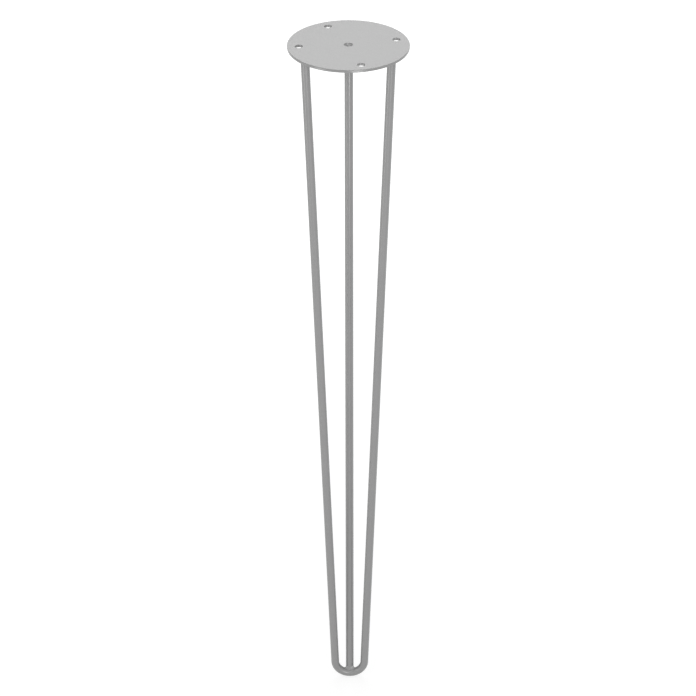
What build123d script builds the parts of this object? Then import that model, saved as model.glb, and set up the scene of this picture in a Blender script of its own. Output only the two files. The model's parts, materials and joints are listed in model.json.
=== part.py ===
from build123d import *
import math
import os

# Hairpin table leg, screwed to the underside of a table top. A round steel plate
# carries one rod bent into a long narrow U and a third rod, whose lower end is let
# into the back of the bend. Sizes are in millimetres and angles in degrees. The
# origin is the centre of the plate's top face, +Z is up, +X is to the right and
# +Y is the side of the third rod.

# Driving dimensions of the whole leg
leg_height = 710.0             # top of the plate to the floor
rod_diameter = 8.0
rod_inset = 10.5               # plate's rim to the centre of each rod, under the plate
hairpin_half_angle = 60.0      # of each of the U's ends, round from the front

# Driving dimensions of the plate
plate_diameter = 110.0
plate_thickness = 2.5
plate_edge_break = 0.4         # burr taken off both edges of the rim
centre_hole_diameter = 8.0
screw_hole_diameter = 7.0
screw_inset = 10.5             # plate's rim to the centre of each screw hole
near_screw_angle = 45.0        # round from the right-hand rod, to either side of it
far_screw_angle = 145.0

# Driving dimensions of the foot
bend_radius = 15.0             # of the rod's centre line
foot_let_in = 4.0              # depth of the saddle by which the third rod fits over the bend
foot_clearance = 5.0           # third rod's sawn end above the floor

# Driving dimensions of the welds
plate_weld_leg = 3.0           # along the rod, and out over the plate
foot_weld_throat = 0.8         # corner between the two rods to the face of the bead
foot_weld_share = 0.92         # of the line where the two rods meet
foot_weld_overlap = 1.6        # width of the bead as laid, before both rods are cut from it

# Rods are cut this far past the plate's underside, then trimmed flush with it
trim_allowance = rod_diameter

# Places worked out from those sizes
rod_radius = rod_diameter / 2
rod_circle_radius = plate_diameter / 2 - rod_inset
screw_circle_radius = plate_diameter / 2 - screw_inset
underside = Plane.XY.offset(-plate_thickness)
foot_centre = Vector(0, 0, rod_radius - leg_height)
half_spread = rod_circle_radius * math.sin(math.radians(hairpin_half_angle))
front_setback = rod_circle_radius * math.cos(math.radians(hairpin_half_angle))
right_rod_bearing = hairpin_half_angle - 90

# The U lies in a plane that leans forward from the foot to the front of the plate
hairpin_up = Vector(0, -front_setback, -plate_thickness) - foot_centre
hairpin_rise = hairpin_up.length
hairpin_plane = Plane(foot_centre, x_dir=(1, 0, 0), z_dir=Vector(1, 0, 0).cross(hairpin_up))

# Each leg of the U runs from the plate and touches the bend's circle
straight_rise = hairpin_rise - bend_radius
leg_lean = math.atan2(half_spread, straight_rise)
leg_lean -= math.asin(bend_radius / math.hypot(half_spread, straight_rise))
bend_start = (bend_radius * math.cos(leg_lean), bend_radius * (1 - math.sin(leg_lean)))
leg_end = (
    half_spread + trim_allowance * math.sin(leg_lean),
    hairpin_rise + trim_allowance * math.cos(leg_lean),
)

# The third rod runs from the back of the plate down behind the bend
middle_foot = foot_centre + Vector(0, rod_diameter - foot_let_in, 0)
middle_top = Vector(0, rod_circle_radius, -plate_thickness)
middle_length = (middle_top - middle_foot).length
middle_up = (middle_top - middle_foot).normalized()


os.makedirs("parts", exist_ok=True)


# Mounting plate: a disc cut from sheet, with its rim deburred and plain round holes
with BuildPart() as mounting_plate:
    with BuildSketch(underside):
        Circle(plate_diameter / 2)
    extrude(amount=plate_thickness)
    chamfer(mounting_plate.edges().filter_by(GeomType.CIRCLE), plate_edge_break)
    Hole(centre_hole_diameter / 2)
    for screw_angle in (near_screw_angle, -near_screw_angle, far_screw_angle, -far_screw_angle):
        with PolarLocations(screw_circle_radius, 1, right_rod_bearing + screw_angle):
            Hole(screw_hole_diameter / 2)
mounting_plate.part.label = "mounting_plate"
export_step(mounting_plate.part, "parts/mounting_plate.step")


# Hairpin rod: one round bar bent into a U, both ends trimmed flush with the plate
with BuildPart() as hairpin_rod:
    with BuildLine(hairpin_plane) as hairpin_path:
        Line((-leg_end[0], leg_end[1]), (-bend_start[0], bend_start[1]))
        ThreePointArc((-bend_start[0], bend_start[1]), (0, 0), bend_start)
        Line(bend_start, leg_end)
    with BuildSketch(Plane(hairpin_path.line @ 0, z_dir=hairpin_path.line % 0)):
        Circle(rod_radius)
    sweep(path=hairpin_path.line)
    split(bisect_by=underside, keep=Keep.BOTTOM)
hairpin_rod.part.label = "hairpin_rod"
export_step(hairpin_rod.part, "parts/hairpin_rod.step")


# Middle rod: a straight bar with both ends cut level, and a saddle in its front that fits
# over the bend
with BuildPart() as middle_rod:
    with BuildSketch(Plane(middle_foot - middle_up * trim_allowance, z_dir=middle_up)):
        Circle(rod_radius)
    extrude(amount=middle_length + 2 * trim_allowance)
    split(bisect_by=underside, keep=Keep.BOTTOM)
    split(bisect_by=Plane.XY.offset(foot_clearance - leg_height), keep=Keep.TOP)
    add(hairpin_rod.part, mode=Mode.SUBTRACT)
middle_rod.part.label = "middle_rod"
export_step(middle_rod.part, "parts/middle_rod.step")


# Plate welds: a bevelled bead round the top of each rod, in the corner under the plate
rod_tops = {
    "left_plate_weld": (hairpin_path.line @ 0, (hairpin_path.line % 0) * -1),
    "right_plate_weld": (hairpin_path.line @ 1, hairpin_path.line % 1),
    "middle_plate_weld": (middle_top + middle_up * trim_allowance, middle_up),
}
toe_radius = rod_radius + plate_weld_leg
for weld_name, (rod_end, rod_up) in rod_tops.items():
    outward = rod_up.cross(Vector(0, 1, 0)).normalized()
    rod_top = rod_end - rod_up * trim_allowance
    with BuildPart() as plate_weld:
        with BuildSketch(Plane(rod_top, x_dir=outward, z_dir=outward.cross(rod_up))):
            with BuildLine():
                Polyline(
                    (rod_radius, -plate_weld_leg),
                    (rod_radius, trim_allowance),
                    (toe_radius, trim_allowance),
                    (toe_radius, 0),
                    close=True,
                )
            make_face()
        revolve(axis=Axis(rod_top, rod_up))
        split(bisect_by=underside, keep=Keep.BOTTOM)
    plate_weld.part.label = weld_name
    export_step(plate_weld.part, f"parts/{weld_name}.step")


# Foot welds: a bead from the top of the saddle down each side of the middle rod, dressed
# to a bevel in the corner between that rod and the bend. The two beads meet at the top
sawn_end = middle_rod.faces().sort_by(Axis.Z)[0]
joint_line = Wire(middle_rod.edges().filter_by(GeomType.BSPLINE) - sawn_end.edges())
joint_end = 0 if (joint_line @ 0).X > 0 else 1
middle_face = middle_rod.faces().filter_by(GeomType.CYLINDER)[0]
bend_face = hairpin_rod.faces().filter_by(GeomType.TORUS)[0]
with BuildPart() as right_foot_weld:
    for share in (0, 0.15, 0.3, 0.5, 0.7, 0.85, 1):
        joint = joint_line @ (0.5 + (joint_end - 0.5) * share * foot_weld_share)
        middle_normal = middle_face.normal_at(joint)
        bend_normal = bend_face.normal_at(joint)
        half_turn = math.radians(middle_normal.get_angle(bend_normal)) / 2
        half_width = foot_weld_overlap * foot_weld_throat / math.tan(half_turn)
        square_to_joint = Plane(
            joint, x_dir=middle_normal + bend_normal, z_dir=middle_normal.cross(bend_normal)
        )
        with BuildSketch(square_to_joint):
            with BuildLine():
                Polyline(
                    (foot_weld_throat, half_width),
                    (foot_weld_throat, -half_width),
                    (-foot_weld_throat, 0),
                    close=True,
                )
            make_face()
    loft()
    add(hairpin_rod.part, mode=Mode.SUBTRACT)
    add(middle_rod.part, mode=Mode.SUBTRACT)
right_foot_weld.part.label = "right_foot_weld"
export_step(right_foot_weld.part, "parts/right_foot_weld.step")

with BuildPart() as left_foot_weld:
    mirror(right_foot_weld.part, about=Plane.YZ)
left_foot_weld.part.label = "left_foot_weld"
export_step(left_foot_weld.part, "parts/left_foot_weld.step")
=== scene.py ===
# %% [markdown]
# # A hairpin table leg in a silver-grey powder coat
#
# The real leg is a round steel plate that is screwed under a table top, with thin steel
# rods welded below it. One rod is bent into a long narrow U, and a straight one stands
# behind it with its lower end let into the back of the bend. The frame loaded here holds
# those pieces at their true size. This lesson gives each of them a finer mesh, and then
# the finish, the light and the camera. No size changes on the way.

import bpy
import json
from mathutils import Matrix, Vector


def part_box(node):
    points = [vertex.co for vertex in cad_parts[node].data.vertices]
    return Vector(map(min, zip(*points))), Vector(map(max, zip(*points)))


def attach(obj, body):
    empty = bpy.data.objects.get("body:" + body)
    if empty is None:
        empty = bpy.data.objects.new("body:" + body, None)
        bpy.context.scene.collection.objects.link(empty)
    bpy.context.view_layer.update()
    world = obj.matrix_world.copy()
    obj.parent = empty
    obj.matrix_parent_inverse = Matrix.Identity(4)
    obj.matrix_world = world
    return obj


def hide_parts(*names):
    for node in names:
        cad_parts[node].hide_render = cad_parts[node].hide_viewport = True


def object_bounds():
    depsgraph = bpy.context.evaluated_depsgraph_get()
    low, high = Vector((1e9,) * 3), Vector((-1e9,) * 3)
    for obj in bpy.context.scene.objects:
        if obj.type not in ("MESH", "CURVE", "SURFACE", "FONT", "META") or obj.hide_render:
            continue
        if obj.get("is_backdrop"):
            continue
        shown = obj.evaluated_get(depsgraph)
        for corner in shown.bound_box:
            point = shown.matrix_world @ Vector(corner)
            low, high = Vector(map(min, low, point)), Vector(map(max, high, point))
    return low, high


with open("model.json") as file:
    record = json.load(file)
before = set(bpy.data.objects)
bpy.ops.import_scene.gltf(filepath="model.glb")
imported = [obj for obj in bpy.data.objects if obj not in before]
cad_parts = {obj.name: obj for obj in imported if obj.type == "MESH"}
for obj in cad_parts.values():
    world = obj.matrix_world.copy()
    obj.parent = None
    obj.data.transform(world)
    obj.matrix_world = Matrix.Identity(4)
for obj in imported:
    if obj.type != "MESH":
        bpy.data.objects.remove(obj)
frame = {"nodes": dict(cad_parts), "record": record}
cad_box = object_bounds()
print("pieces in the frame:", ", ".join(sorted(frame["nodes"])))

# %% [markdown]
# ## Sizes
#
# A new piece has to lie exactly where the frame has the old one, so its sizes are read
# from the frame where it holds them. The frame's round pieces are made of flat facets
# and measure a few hundredths of a millimetre short, which is why the lengths are rounded
# to a tenth of a millimetre. Everything is in metres.

# %% Read the leg's sizes
import math

import numpy as np


def to_tenth(length):
    """A length in metres, rounded to a tenth of a millimetre."""
    return round(length, 4)


mounts = {mount["name"]: mount for mount in frame["record"]["mounts"]}
plate_low, plate_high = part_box("mounting_plate")
middle_low, middle_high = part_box("middle_rod")

plate_radius = to_tenth(plate_high.x - plate_low.x) / 2
plate_thickness = to_tenth(plate_high.z - plate_low.z)
rod_radius = to_tenth(middle_high.x - middle_low.x) / 2
rod_circle_radius = to_tenth(middle_high.y - rod_radius)
leg_height = -mounts["foot"]["pos_m"][2]
foot_centre = np.array((0.0, 0.0, rod_radius - leg_height))
print(f"plate {2000 * plate_radius:.1f} x {1000 * plate_thickness:.1f} mm,",
      f"rods {2000 * rod_radius:.1f} mm on a circle of {2000 * rod_circle_radius:.1f} mm,",
      f"leg {1000 * leg_height:.0f} mm high")

# %% [markdown]
# ## From a grid of points to a piece
#
# Every surface of this leg is a loop carried along something: a circle along a rod, a
# profile round an axis, a bead round a corner. Such a surface is a grid of points, and
# the faces between them follow from counting rows and columns. Modelling by hand with
# extrude and loop cut would reach the same shape, but a formula keeps it exact.
#
# Blender reads a mesh as lists of points and faces. A closed mesh is then turned so that
# all its faces look outward. It is shaded smooth, apart from the edges where it turns
# sharply: a sawn end would look swollen if its shading ran on into the round of the rod.

# %% Faces between the points of a grid
def grid_faces(rows, columns, first=0, rows_close=False):
    """Four-sided faces of a grid whose columns run round a loop.

    Point (i, j) has the index first + i * columns + j, and each face joins (i, j),
    (i, j + 1), (i + 1, j + 1) and (i + 1, j), counting on from the end of a loop to its
    start. With rows_close the rows run round a loop too.
    """
    row_starts = np.arange(rows if rows_close else rows - 1)
    row, column = np.meshgrid(row_starts, np.arange(columns), indexing="ij")
    next_row = (row + 1) % rows
    next_column = (column + 1) % columns
    corners = (row * columns + column, row * columns + next_column,
               next_row * columns + next_column, next_row * columns + column)
    return (first + np.stack(corners, axis=-1).reshape(-1, 4)).tolist()


def capped_faces(rows, columns):
    """Faces of a grid whose columns run round a loop, with its first and last loop filled."""
    last = (rows - 1) * columns
    ends = [list(range(columns)), list(range(last, last + columns))]
    return grid_faces(rows, columns) + ends


# %% A piece from points and faces
import bmesh
import bpy

sharp_angle = math.radians(40)
pieces = []


def make_piece(name, points, faces):
    """A closed mesh at the origin, riding on the leg and standing for a solid of the frame."""
    mesh = bpy.data.meshes.new(name)
    mesh.from_pydata(points.reshape(-1, 3).tolist(), [], faces)
    shape = bmesh.new()
    shape.from_mesh(mesh)
    bmesh.ops.recalc_face_normals(shape, faces=shape.faces)
    if shape.calc_volume(signed=True) < 0:
        bmesh.ops.reverse_faces(shape, faces=shape.faces)
    open_edges = sum(not edge.is_manifold for edge in shape.edges)
    shape.to_mesh(mesh)
    shape.free()
    mesh.shade_smooth()
    mesh.set_sharp_from_angle(angle=sharp_angle)
    piece = bpy.data.objects.new(name, mesh)
    bpy.context.scene.collection.objects.link(piece)
    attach(piece, "root")
    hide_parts(name.removesuffix("_coated"))
    pieces.append(piece)
    triangles = sum(len(polygon.vertices) - 2 for polygon in mesh.polygons)
    print(f"{name}: {triangles} triangles, {open_edges} open edges")
    return piece


# %% [markdown]
# ## The mounting plate
#
# The plate is a disc cut from 2.5 mm sheet, with a hole for each screw and one at its
# centre. Cut steel has sharp edges, but powder flows before it sets, so every edge of the
# coated plate is a small round. That round is what draws the light line along the rim.
#
# A bevel modifier could make it. Here the wall of the rim and of each hole is a profile
# spun about its own axis, and the two flat faces are filled in between the circles, so the
# edges are true quarter circles. Each point also gets the direction that its surface has
# there by formula, because the long thin triangles of a filled face would shade unevenly.

# %% Walls of the rim and of the holes
rim_edge = 0.0004
hole_edge = 0.00025
edge_steps = 7
rim_steps = 256
hole_steps = 64


def rounded_wall(centre, radius, edge, side, steps):
    """Points and normals of a wall round a vertical axis, with rounded edges.

    Along the wall, a runs over a quarter turn for the top edge and back for the lower one:
    distance = radius - side * edge * (1 - sin a), depth = edge * (1 - cos a) from the
    nearer face, normal = (side * sin a, cos a). side is 1 on a rim and -1 in a hole. Round
    the axis, each point is turned by an even share of a full circle.
    """
    quarter = np.linspace(0, np.pi / 2, edge_steps)
    a = np.concatenate((quarter, quarter[::-1]))
    up = np.repeat((1.0, -1.0), edge_steps)
    distance = radius - side * edge * (1 - np.sin(a))
    depth = edge * (1 - np.cos(a))
    height = np.where(up > 0, -depth, depth - plate_thickness)
    turn = np.linspace(0, 2 * np.pi, steps, endpoint=False)
    ring = np.stack((np.cos(turn), np.sin(turn), np.zeros(steps)), axis=-1)
    axis = np.array((0.0, 0.0, 1.0))
    points = ring * distance[:, None, None] + axis * height[:, None, None]
    normals = ring * (side * np.sin(a))[:, None, None] + axis * (up * np.cos(a))[:, None, None]
    return points + np.array((centre[0], centre[1], 0.0)), normals


walls = [rounded_wall((0, 0), plate_radius, rim_edge, 1, rim_steps)]
for mount in mounts.values():
    if mount["kind"] == "bore":
        hole_radius = mount["dims"]["r_mm"] / 1000
        walls.append(rounded_wall(mount["pos_m"], hole_radius, hole_edge, -1, hole_steps))
print(f"the plate has {len(walls) - 1} holes")

# %% Mounting plate
from mathutils.geometry import tessellate_polygon

plate_points = np.concatenate([points.reshape(-1, 3) for points, normals in walls])
plate_normals = np.concatenate([normals.reshape(-1, 3) for points, normals in walls])
plate_faces, top_loops, low_loops = [], [], []
first = 0
for points, normals in walls:
    rows, columns = points.shape[:2]
    plate_faces += grid_faces(rows, columns, first)
    top_loops.append(np.arange(first, first + columns))
    low_loops.append(np.arange(first + (rows - 1) * columns, first + rows * columns))
    first += rows * columns

fill = np.array(tessellate_polygon([plate_points[loop].tolist() for loop in top_loops]))
plate_faces += np.concatenate(top_loops)[fill].tolist()
plate_faces += np.concatenate(low_loops)[fill].tolist()
plate = make_piece("mounting_plate_coated", plate_points, plate_faces)
plate.data.normals_split_custom_set_from_vertices(plate_normals.tolist())

# %% [markdown]
# ## The hairpin rod
#
# One round bar, bent cold round a former into a U. Its two legs lean apart up to the front
# of the plate, and both ends are cut level with the plate's underside.
#
# A bevelled curve would do for most of it, but a curve ends square to its own line and
# these ends are slanted. So the rod is a circle carried along its centre line. The line
# lies in one plane, so a single angle a, from straight down, gives its direction in the
# bend, and that angle stays the same all along each leg.

# %% The plane of the U and the lean of its legs
hairpin_half_angle = math.radians(60)     # from the front to each end of the U, on the plate
bend_radius = 0.015

across = np.array((1.0, 0.0, 0.0))
half_spread = rod_circle_radius * math.sin(hairpin_half_angle)
front_setback = rod_circle_radius * math.cos(hairpin_half_angle)
hairpin_up = np.array((0.0, -front_setback, -plate_thickness)) - foot_centre
hairpin_rise = np.linalg.norm(hairpin_up)
hairpin_up /= hairpin_rise
hairpin_side = np.cross(across, hairpin_up)

leg_rise = hairpin_rise - bend_radius
leg_lean = math.atan2(half_spread, leg_rise)
leg_lean -= math.asin(bend_radius / math.hypot(half_spread, leg_rise))
leg_length = math.sqrt(half_spread ** 2 + leg_rise ** 2 - bend_radius ** 2)
leg_up = {
    "left": -math.sin(leg_lean) * across + math.cos(leg_lean) * hairpin_up,
    "right": math.sin(leg_lean) * across + math.cos(leg_lean) * hairpin_up,
}
print(f"each leg is {1000 * leg_length:.1f} mm straight and leans {math.degrees(leg_lean):.2f} degrees")

# %% Hairpin rod
rod_steps = 56
ring_spacing = 0.006
bend_rings = 48


def circle_round(centres, first_axis, second_axis, radius, steps):
    """Circles along a line: centre + radius * (cos t * first axis + sin t * second axis)."""
    turn = np.linspace(0, 2 * np.pi, steps, endpoint=False)[:, None]
    ring = np.cos(turn) * first_axis[:, None, :] + np.sin(turn) * second_axis[:, None, :]
    return centres[:, None, :] + radius * ring


def trimmed_to_plate(ring, direction):
    """The ring's points, each slid along direction until it is level with the plate's underside."""
    slide = (-plate_thickness - ring[:, 2]) / direction[2]
    return ring + slide[:, None] * direction


bend_angle = math.pi / 2 - leg_lean
leg_stations = np.linspace(1, 0, round(leg_length / ring_spacing), endpoint=False) * leg_length
bend_stations = np.linspace(-bend_angle, bend_angle, bend_rings)
a = np.concatenate((np.full_like(leg_stations, -bend_angle), bend_stations,
                    np.full_like(leg_stations, bend_angle)))
beyond = np.concatenate((leg_stations, np.zeros(bend_rings), leg_stations[::-1]))
sideways = bend_radius * np.sin(a) + np.sign(a) * beyond * np.cos(a)
upward = bend_radius * (1 - np.cos(a)) + beyond * np.abs(np.sin(a))
hairpin_line = foot_centre + sideways[:, None] * across + upward[:, None] * hairpin_up
away_from_bend = np.sin(a)[:, None] * across - np.cos(a)[:, None] * hairpin_up
square_to_plane = np.broadcast_to(hairpin_side, hairpin_line.shape)
hairpin_points = circle_round(hairpin_line, away_from_bend, square_to_plane, rod_radius, rod_steps)
hairpin_points[0] = trimmed_to_plate(hairpin_points[0], leg_up["left"])
hairpin_points[-1] = trimmed_to_plate(hairpin_points[-1], leg_up["right"])
make_piece("hairpin_rod_coated", hairpin_points, capped_faces(len(hairpin_line), rod_steps))

# %% [markdown]
# ## The middle rod
#
# A straight bar of the same stock. It comes down behind the bend and is sawn off level, a
# little above the floor. A saddle in its front, which is a shallow hollow, fits over the
# round of the bend.
#
# A boolean cut would leave a ragged ring of faces there. The saddle can be worked out
# instead: going up the rod from its sawn end, each line of its surface leaves the bent
# rod at one height. That height is found by halving an interval for all lines at once,
# and the rod's rings then run from that curved edge up to the plate.

# %% Where the middle rod leaves the bend
foot_let_in = 0.004          # depth of the saddle
halvings = 40

foot_clearance = to_tenth(middle_low.z + leg_height)
middle_foot = foot_centre + np.array((0.0, 2 * rod_radius - foot_let_in, 0.0))
middle_up = np.array((0.0, rod_circle_radius, -plate_thickness)) - middle_foot
middle_length = np.linalg.norm(middle_up)
middle_up /= middle_length
middle_back = np.cross(middle_up, across)


def last_true(test, low, high):
    """Where a test that is true at low and not at high stops being true, by halving between them."""
    for halving in range(halvings):
        middle = (low + high) / 2
        passed = test(middle)
        low = np.where(passed, middle, low)
        high = np.where(passed, high, middle)
    return low


def distance_from_bend(points):
    """How far points lie from the surface of the bent rod, less than nothing if inside it.

    The bend is a ring of centre line radius R: distance = hypot(hypot(x, h - R) - R, s) less
    the rod's radius, with x across, h up the U's plane and s square to that plane.
    """
    offset = points - foot_centre
    from_axis = np.hypot(offset @ across, offset @ hairpin_up - bend_radius) - bend_radius
    return np.hypot(from_axis, offset @ hairpin_side) - rod_radius


def saddle_points(offsets):
    """Lower ends of lines along the middle rod: at its level sawn end, or on the bent rod."""

    def inside_bend(height):
        return distance_from_bend(middle_foot + offsets + height[..., None] * middle_up) < 0

    sawn = (foot_clearance - rod_radius - offsets[..., 2]) / middle_up[2]
    height = last_true(inside_bend, sawn, sawn + 2 * rod_radius)
    return middle_foot + offsets + height[..., None] * middle_up


print(f"the middle rod leans back {math.degrees(math.acos(middle_up[2])):.2f} degrees")

# %% Middle rod
saddle_rings = 12

turn = np.linspace(0, 2 * np.pi, rod_steps, endpoint=False)[:, None]
rod_ring = np.cos(turn) * across + np.sin(turn) * middle_back
share = np.linspace(0, 1, saddle_rings, endpoint=False)[1:]
saddle = saddle_points(share[:, None, None] * rod_radius * rod_ring)
lower_edge = saddle_points(rod_radius * rod_ring)
plate_end = trimmed_to_plate(middle_foot + rod_radius * rod_ring, middle_up)
along = np.linspace(0, 1, round(middle_length / ring_spacing))[:, None, None]
shaft = lower_edge * (1 - along) + plate_end * along
middle_points = np.concatenate((saddle, shaft))
make_piece("middle_rod_coated", middle_points, capped_faces(len(middle_points), rod_steps))
print(f"the saddle reaches {1000 * (lower_edge[:, 2].max() + leg_height):.2f} mm above the floor,",
      f"the sawn end is {1000 * foot_clearance:.1f} mm above it")

# %% [markdown]
# ## The welds under the plate
#
# Each rod is held by a bead of weld in the corner between its top and the plate. A bead
# is laid as a row of small overlapping puddles, and each one sets with a curved edge, so
# it has ripples across it, and a lump where the end runs over the start.
#
# The bead is a bevel carried round the rod. Its face bulges a little, the ripples are a
# sine wave round the rod that is shifted at the two toes of the bead, and everything that
# is added dies away at the toes, so that they stay on the rod and on the plate.

# %% Shape of a weld under the plate
weld_leg = 0.003
weld_crown = 0.00025
ripple_height = 0.00010
ripple_pitch = 0.0022
ripple_shift = 1.6           # radians of the wave, at the toes
lump_height = 0.00025
lump_place = math.pi / 2     # radians round the rod
lump_width = 0.35
weld_steps = 192
weld_rows = 13


def plate_weld(rod_top, rod_up):
    """Points of a bead: rows round its section and columns round the rod.

    On the face, v runs from 0 at the plate to 1 on the rod. The straight bevel is at
    rod_radius + weld_leg * (1 - v) from the axis and weld_leg * v below the plate, and it
    is raised square to itself by 4 v (1 - v) times the crown, the ripples and the lump.
    The last row is the corner under the plate, and the toe is slid to the plate's level.
    """
    first_axis = np.cross(rod_up, (0.0, 1.0, 0.0))
    first_axis /= np.linalg.norm(first_axis)
    second_axis = np.cross(rod_up, first_axis)
    turn = np.linspace(0, 2 * np.pi, weld_steps, endpoint=False)
    v = np.linspace(0, 1, weld_rows)[:, None]
    ripples = round(2 * np.pi * (rod_radius + weld_leg / 2) / ripple_pitch)
    wave = np.sin(ripples * turn + ripple_shift * (2 * v - 1) ** 2)
    lump = np.exp(-((turn - lump_place) / lump_width) ** 2)
    raise_by = weld_crown + ripple_height * wave + lump_height * lump
    raise_by = 4 * v * (1 - v) * raise_by / math.sqrt(2)
    distance = rod_radius + weld_leg * (1 - v) + raise_by
    below = weld_leg * v + raise_by
    distance = np.concatenate((distance, np.full((1, weld_steps), rod_radius)))
    below = np.concatenate((below, np.zeros((1, weld_steps))))
    ring = np.cos(turn)[:, None] * first_axis + np.sin(turn)[:, None] * second_axis
    points = rod_top + distance[..., None] * ring
    level = (-plate_thickness - points[..., 2]) / rod_up[2]
    fade = np.clip(1 - below / weld_leg, 0, 1)
    return points + (level * fade - below)[..., None] * rod_up


# %% Welds under the plate
rod_tops = {
    "left_plate_weld": (np.array((-half_spread, -front_setback, -plate_thickness)), leg_up["left"]),
    "right_plate_weld": (np.array((half_spread, -front_setback, -plate_thickness)), leg_up["right"]),
    "middle_plate_weld": (np.array((0.0, rod_circle_radius, -plate_thickness)), middle_up),
}
for name, (rod_top, rod_up) in rod_tops.items():
    bead = plate_weld(rod_top, rod_up)
    make_piece(name + "_coated", bead, grid_faces(len(bead), weld_steps, rows_close=True))

# %% [markdown]
# ## The welds at the foot
#
# A bead of weld fills the corner between the middle rod and the bend, from the top of the
# saddle down each side of it. It is dressed smooth before coating, so no ripples are left,
# and the rod seems to grow out of the bend.
#
# A bevel modifier can't round the edge between two separate pieces. A ball can: rolled
# along the corner it always touches both rods, and the part of it that faces the corner
# is the face of the bead. So the bead meets both rods without a crease.

# %% A ball that touches both rods
def unit(vectors):
    """Vectors divided by their lengths."""
    return vectors / np.linalg.norm(vectors, axis=-1, keepdims=True)


def from_bend(a, b, ball):
    """Direction away from the bend's centre line, and the centre of a ball touching the bend there.

    a is the angle along the bend from its lowest point, and b the angle round the rod from
    its front over its top: cos b * front + sin b * (cos a * up - sin a * across).
    """
    a, b, ball = (np.asarray(value)[..., None] for value in (a, b, ball))
    line = foot_centre + bend_radius * (np.sin(a) * across + (1 - np.cos(a)) * hairpin_up)
    away = np.cos(b) * hairpin_side + np.sin(b) * (np.cos(a) * hairpin_up - np.sin(a) * across)
    return away, line + (rod_radius + ball) * away


def from_middle(points):
    """The part of each point's offset from the middle rod that is square to that rod."""
    offset = points - middle_foot
    return offset - (offset @ middle_up)[..., None] * middle_up


def clear_of_middle(a, b, ball):
    """True where the ball, touching the bend, doesn't reach the middle rod."""
    return np.linalg.norm(from_middle(from_bend(a, b, ball)[1]), axis=-1) > rod_radius + ball


# %% Welds at the foot
front_ball = 0.0040          # radius of the ball, at the top of the saddle
side_ball = 0.0014           # and on both sides of the rod
ball_falloff = 3
ball_taper = 0.99            # share of the ball's section that is gone at the bead's end
taper_power = 4
root_reach = 1.1             # a little past the corner, into both rods
foot_weld_end = math.radians(163)
bead_stations = 49
bead_steps = 13


def foot_weld(side):
    """Points and normals of a bead: rows along the joint, columns across its face.

    The ball touches the bend at b, from the top of the saddle to its end, and at the a where
    it touches the middle rod too. It is largest in front and shrinks to a point at the end.
    Across the face, u runs from the rod to the bend through the angle g between the two
    touching directions: centre + ball radius * (sin((1 - u) g) * to rod + sin(u g) * to bend)
    / sin g. The last column lies in the corner, inside both rods, and closes the bead.
    """
    b_top = last_true(lambda b: clear_of_middle(0.0, b, front_ball),
                      np.array(math.pi / 4), np.array(math.pi))
    share = np.linspace(0, 1, bead_stations) ** 2
    b = b_top + (foot_weld_end - b_top) * share
    ball = side_ball + (front_ball - side_ball) * (1 - share) ** ball_falloff
    ball *= np.sqrt(1 - ball_taper * share ** taper_power)
    a = last_true(lambda a: ~clear_of_middle(a, b, ball), np.zeros(bead_stations), np.ones(bead_stations))
    away, centre = from_bend(a, b, ball)
    to_bend = -away[:, None, :]
    to_rod = -unit(from_middle(centre))[:, None, :]
    g = np.arccos(np.sum(to_rod * to_bend, axis=-1, keepdims=True))
    u = np.linspace(0, 1, bead_steps)[:, None]
    toward = (np.sin((1 - u) * g) * to_rod + np.sin(u * g) * to_bend) / np.sin(g)
    corner = unit(to_rod + to_bend)
    root = root_reach * corner / np.cos(g / 2)
    points = centre[:, None, :] + ball[:, None, None] * np.concatenate((toward, root), axis=1)
    normals = -np.concatenate((toward, corner), axis=1)
    mirrored = np.array((side, 1.0, 1.0))
    return points * mirrored, normals * mirrored


for name, side in (("left_foot_weld", -1), ("right_foot_weld", 1)):
    bead, bead_normals = foot_weld(side)
    weld = make_piece(name + "_coated", bead, capped_faces(*bead.shape[:2]))
    weld.data.normals_split_custom_set_from_vertices(bead_normals.reshape(-1, 3).tolist())

# %% [markdown]
# ## The finish
#
# Satin powder coat in silver grey: plastic powder with fine aluminium flakes, sprayed on
# dry and baked until it flows into a skin. The eye gets an even, slightly metallic grey
# with soft highlights. Close by there are faint differences from flake to flake and the
# shallow waves called orange peel.
#
# An image could carry all that, but a few noise nodes do it at any distance. They read
# Object coordinates, which are metres here, so one over a real size is the right scale.

# %% Helpers for colours and nodes
def linear(hex_code):
    """An sRGB colour such as #808080 as linear red, green, blue and alpha."""
    share = np.array([int(hex_code[k:k + 2], 16) / 255 for k in (1, 3, 5)])
    value = np.where(share <= 0.04045, share / 12.92, ((share + 0.055) / 1.055) ** 2.4)
    return (*value.tolist(), 1.0)


def add_node(tree, kind, sockets=None, **settings):
    """Adds a node with its settings, and fills its sockets with values or other nodes' outputs."""
    made = tree.nodes.new(kind)
    for setting, value in settings.items():
        setattr(made, setting, value)
    for socket, value in (sockets or {}).items():
        if isinstance(value, bpy.types.NodeSocket):
            tree.links.new(value, made.inputs[socket])
        else:
            made.inputs[socket].default_value = value
    return made


def empty_material(name):
    """A material with nothing in its node tree."""
    material = bpy.data.materials.new(name)
    material.use_nodes = True
    material.node_tree.nodes.clear()
    return material


# %% Powder coat
coat_light = "#B4B4B4"
coat_dark = "#A6A6A6"
flake_size = 0.0004          # real flakes are near 0.05 mm, far too fine to show, so drawn coarser
flake_share = 0.5            # of the differences in tone; the rest are clouds
cloud_size = 0.030           # slow drift in the thickness of the coat
peel_size = 0.0022           # from crest to crest of the orange peel
peel_height = 0.000012
coat_metallic = 0.15         # the share of the light that flakes send back
coat_ior = 1.5               # polyester resin
satin_roughness = (0.22, 0.28)

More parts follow.
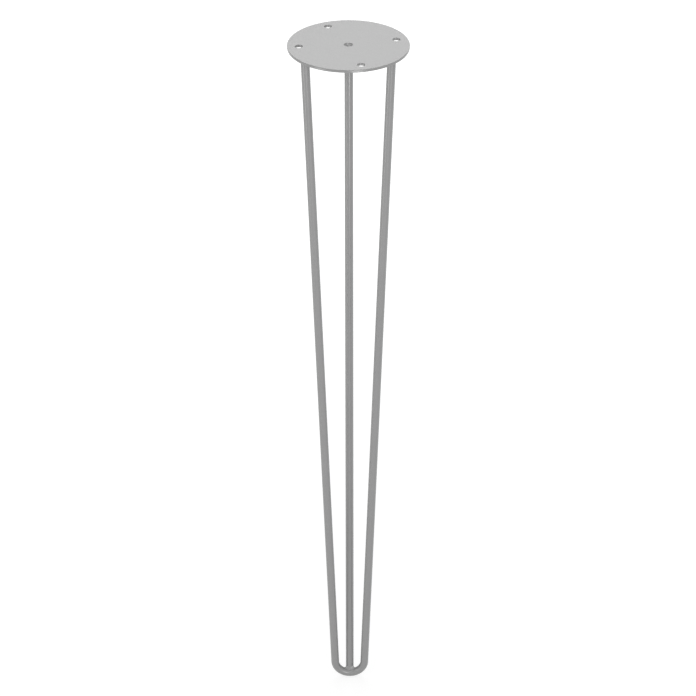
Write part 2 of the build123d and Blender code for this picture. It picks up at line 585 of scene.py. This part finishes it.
coat = empty_material("silver_grey_satin_powder_coat")
tree = coat.node_tree
place = add_node(tree, "ShaderNodeTexCoord").outputs["Object"]
flakes = add_node(tree, "ShaderNodeTexVoronoi", {"Vector": place, "Scale": 1 / flake_size})
flake_tone = add_node(tree, "ShaderNodeSeparateColor", {"Color": flakes.outputs["Color"]})
clouds = add_node(tree, "ShaderNodeTexNoise", {"Vector": place, "Scale": 1 / cloud_size, "Detail": 3.0})
tone = add_node(tree, "ShaderNodeMix",
                {"Factor": flake_share, "A": clouds.outputs["Fac"], "B": flake_tone.outputs["Red"]})
# A Mix node has its two colours on sockets 6 and 7, and the mixed colour on output 2
grey = add_node(tree, "ShaderNodeMix",
                {"Factor": tone.outputs["Result"], 6: linear(coat_dark), 7: linear(coat_light)},
                data_type="RGBA")
gloss = add_node(tree, "ShaderNodeMapRange",
                 {"Value": clouds.outputs["Fac"],
                  "To Min": satin_roughness[0], "To Max": satin_roughness[1]})
peel = add_node(tree, "ShaderNodeTexNoise", {"Vector": place, "Scale": 1 / peel_size, "Detail": 1.0})
waves = add_node(tree, "ShaderNodeBump", {"Height": peel.outputs["Fac"], "Distance": peel_height})
skin = add_node(tree, "ShaderNodeBsdfPrincipled",
                {"Base Color": grey.outputs[2], "Roughness": gloss.outputs["Result"],
                 "Normal": waves.outputs["Normal"], "Metallic": coat_metallic, "IOR": coat_ior})
add_node(tree, "ShaderNodeOutputMaterial", {"Surface": skin.outputs["BSDF"]})
for piece in pieces:
    piece.data.materials.append(coat)
print(f"{coat.name} is on {len(pieces)} pieces")

# %% [markdown]
# ## Floor and background
#
# The leg stands in a white studio. The floor is a pale matt sheet at the height of the
# foot, and the world round it gives a soft even light.
#
# White paper in a photograph is white because it is exposed to be, not because it shines
# on the object. So the floor and the world look white only to the camera and to mirror
# reflections, which the Light Path node can tell, and they light the leg as plain pale
# surfaces. Near the foot a part of the floor's white is still reflected light, so the
# leg's shadow stays, and that part fades out with the distance from the foot. Seen from
# below, the sheet is clear, so that the underside of the plate can be looked at.

# %% Paper for the floor
paper_tone = "#E4E4E4"       # as it lights the leg
shown_tone = "#B8B8B8"       # the reflected part of what the camera sees
own_white = (0.75, 1.0)      # the other part, near the foot and far from it
white_fade = (0.15, 1.40)    # metres from the foot


def seen_directly(tree):
    """One for rays from the camera, from a reflection or through glass, and otherwise nothing."""
    rays = add_node(tree, "ShaderNodeLightPath").outputs
    mirrored = add_node(tree, "ShaderNodeMath",
                        {0: rays["Is Glossy Ray"], 1: rays["Is Transmission Ray"]}, operation="MAXIMUM")
    return add_node(tree, "ShaderNodeMath",
                    {0: rays["Is Camera Ray"], 1: mirrored.outputs[0]}, operation="MAXIMUM").outputs[0]


white_floor = empty_material("white_paper_floor")
tree = white_floor.node_tree
paper = add_node(tree, "ShaderNodeBsdfDiffuse", {"Color": linear(paper_tone)})
lit = add_node(tree, "ShaderNodeBsdfDiffuse", {"Color": linear(shown_tone)})
place = add_node(tree, "ShaderNodeTexCoord").outputs["Object"]
from_foot = add_node(tree, "ShaderNodeVectorMath", {0: place, 1: (0.0, 0.0, -leg_height)},
                     operation="DISTANCE")
whiter = add_node(tree, "ShaderNodeMapRange",
                  {"Value": from_foot.outputs["Value"],
                   "From Min": white_fade[0], "From Max": white_fade[1],
                   "To Min": own_white[0], "To Max": own_white[1]})
glow = add_node(tree, "ShaderNodeEmission", {"Strength": whiter.outputs["Result"]})
shown = add_node(tree, "ShaderNodeAddShader", {0: lit.outputs[0], 1: glow.outputs[0]})
surface = add_node(tree, "ShaderNodeMixShader",
                   {0: seen_directly(tree), 1: paper.outputs[0], 2: shown.outputs[0]})
below = add_node(tree, "ShaderNodeNewGeometry").outputs["Backfacing"]
clear = add_node(tree, "ShaderNodeBsdfTransparent")
one_sided = add_node(tree, "ShaderNodeMixShader", {0: below, 1: surface.outputs[0], 2: clear.outputs[0]})
add_node(tree, "ShaderNodeOutputMaterial", {"Surface": one_sided.outputs[0]})
print(f"{white_floor.name} has {len(tree.nodes)} nodes")

# %% Floor
floor_size = 8.0

floor_mesh = bpy.data.meshes.new("floor")
corners = np.array(((-1, -1), (1, -1), (1, 1), (-1, 1))) * floor_size / 2
floor_mesh.from_pydata([(x, y, -leg_height) for x, y in corners.tolist()], [], [(0, 1, 2, 3)])
floor_mesh.materials.append(white_floor)
floor = bpy.data.objects.new("floor", floor_mesh)
bpy.context.scene.collection.objects.link(floor)
floor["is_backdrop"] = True
print(f"floor at {-1000 * leg_height:.0f} mm")

# %% World
world_light = 0.45
backdrop_white = 1.0
world_tone = linear("#FFFFFF")

world = bpy.data.worlds.new("white_studio")
bpy.context.scene.world = world
world.use_nodes = True
tree = world.node_tree
tree.nodes.clear()
soft = add_node(tree, "ShaderNodeBackground", {"Color": world_tone, "Strength": world_light})
white = add_node(tree, "ShaderNodeBackground", {"Color": world_tone, "Strength": backdrop_white})
both = add_node(tree, "ShaderNodeMixShader",
                {0: seen_directly(tree), 1: soft.outputs[0], 2: white.outputs[0]})
add_node(tree, "ShaderNodeOutputWorld", {"Surface": both.outputs[0]})
print(f"world light {world_light}")

# %% [markdown]
# ## Light
#
# Much of the light is the even light of the white studio round the leg, and four softboxes
# add to it. The one behind is mirrored by the plate's top and makes it the brightest face.
# The one in front and above lights the upper part of the rods, which grow darker towards
# the floor. A low card in front is mirrored only by the rod that leans back, as a light
# line down its upper part. A weak fill low on the left gives the bend its small glint.

# %% Softboxes
from mathutils import Vector

softboxes = {
    # name: place, point it faces, width and height, power in watts
    "back_softbox": ((0.0, 1.3, 0.75), (0.0, 0.0, -0.2), (1.2, 0.6), 3.2),
    "front_softbox": ((0.0, -0.9, 0.5), (0.0, 0.0, -0.1), (0.7, 0.4), 0.5),
    "low_front_card": ((0.34, -1.15, -0.39), (0.0, 0.0, -0.2), (0.45, 0.28), 1.7),
    "left_fill": ((-0.75, -0.55, -0.45), (0.0, 0.0, -0.62), (0.3, 0.4), 0.6),
}
for name, (position, target, size, power) in softboxes.items():
    lamp = bpy.data.lights.new(name, "AREA")
    lamp.shape = "RECTANGLE"
    lamp.size, lamp.size_y = size
    lamp.energy = power
    softbox = bpy.data.objects.new(name, lamp)
    softbox.location = position
    softbox.rotation_mode = "QUATERNION"
    softbox.rotation_quaternion = (Vector(target) - Vector(position)).to_track_quat("-Z", "Y")
    softbox.visible_camera = False
    bpy.context.scene.collection.objects.link(softbox)
print("softboxes:", ", ".join(softboxes))

# %% [markdown]
# ## Camera
#
# The picture is taken from in front and above, with a long lens from about two metres, so
# the legs hardly taper. A new camera in Blender looks straight down. It is first turned a
# hair about its line of sight, as a hand levels it. Then it is tipped up, panned, moved to
# its place in front of the leg and swung round it.

# %% Camera
from mathutils import Matrix

camera_distance = 2.1075                 # metres in front of the plate's centre
camera_height = 0.9401                   # metres above it
camera_orbit = math.radians(0.387)
camera_pitch = math.radians(30.788)      # down from the horizontal
camera_pan = math.radians(0.028)
camera_roll = math.radians(-0.139)
picture_pixels = 696
focal_pixels = 2563.9
sensor_width = 36.0

lens = bpy.data.cameras.new("camera")
lens.sensor_fit = "HORIZONTAL"
lens.sensor_width = sensor_width
lens.lens = focal_pixels / picture_pixels * sensor_width
lens.clip_start = 0.1
lens.clip_end = 50.0
camera = bpy.data.objects.new("camera", lens)
camera.matrix_world = (
    Matrix.Rotation(camera_orbit, 4, "Z")
    @ Matrix.Translation((0.0, -camera_distance, camera_height))
    @ Matrix.Rotation(camera_pan, 4, "Z")
    @ Matrix.Rotation(math.pi / 2 - camera_pitch, 4, "X")
    @ Matrix.Rotation(camera_roll, 4, "Z")
)
bpy.context.scene.collection.objects.link(camera)
bpy.context.scene.camera = camera
bpy.context.scene.view_settings.view_transform = "Standard"
print(f"lens {lens.lens:.1f} mm")

# %% [markdown]
# ## Check the size
#
# The dressed leg has to be as large as the frame's. Both boxes are kept for comparison.

# %% Compare the boxes
import json

new_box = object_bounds()
grown = max(max(cad_box[0] - new_box[0]), max(new_box[1] - cad_box[1]))
print(f"grown by at most {1000 * grown:.3f} mm")
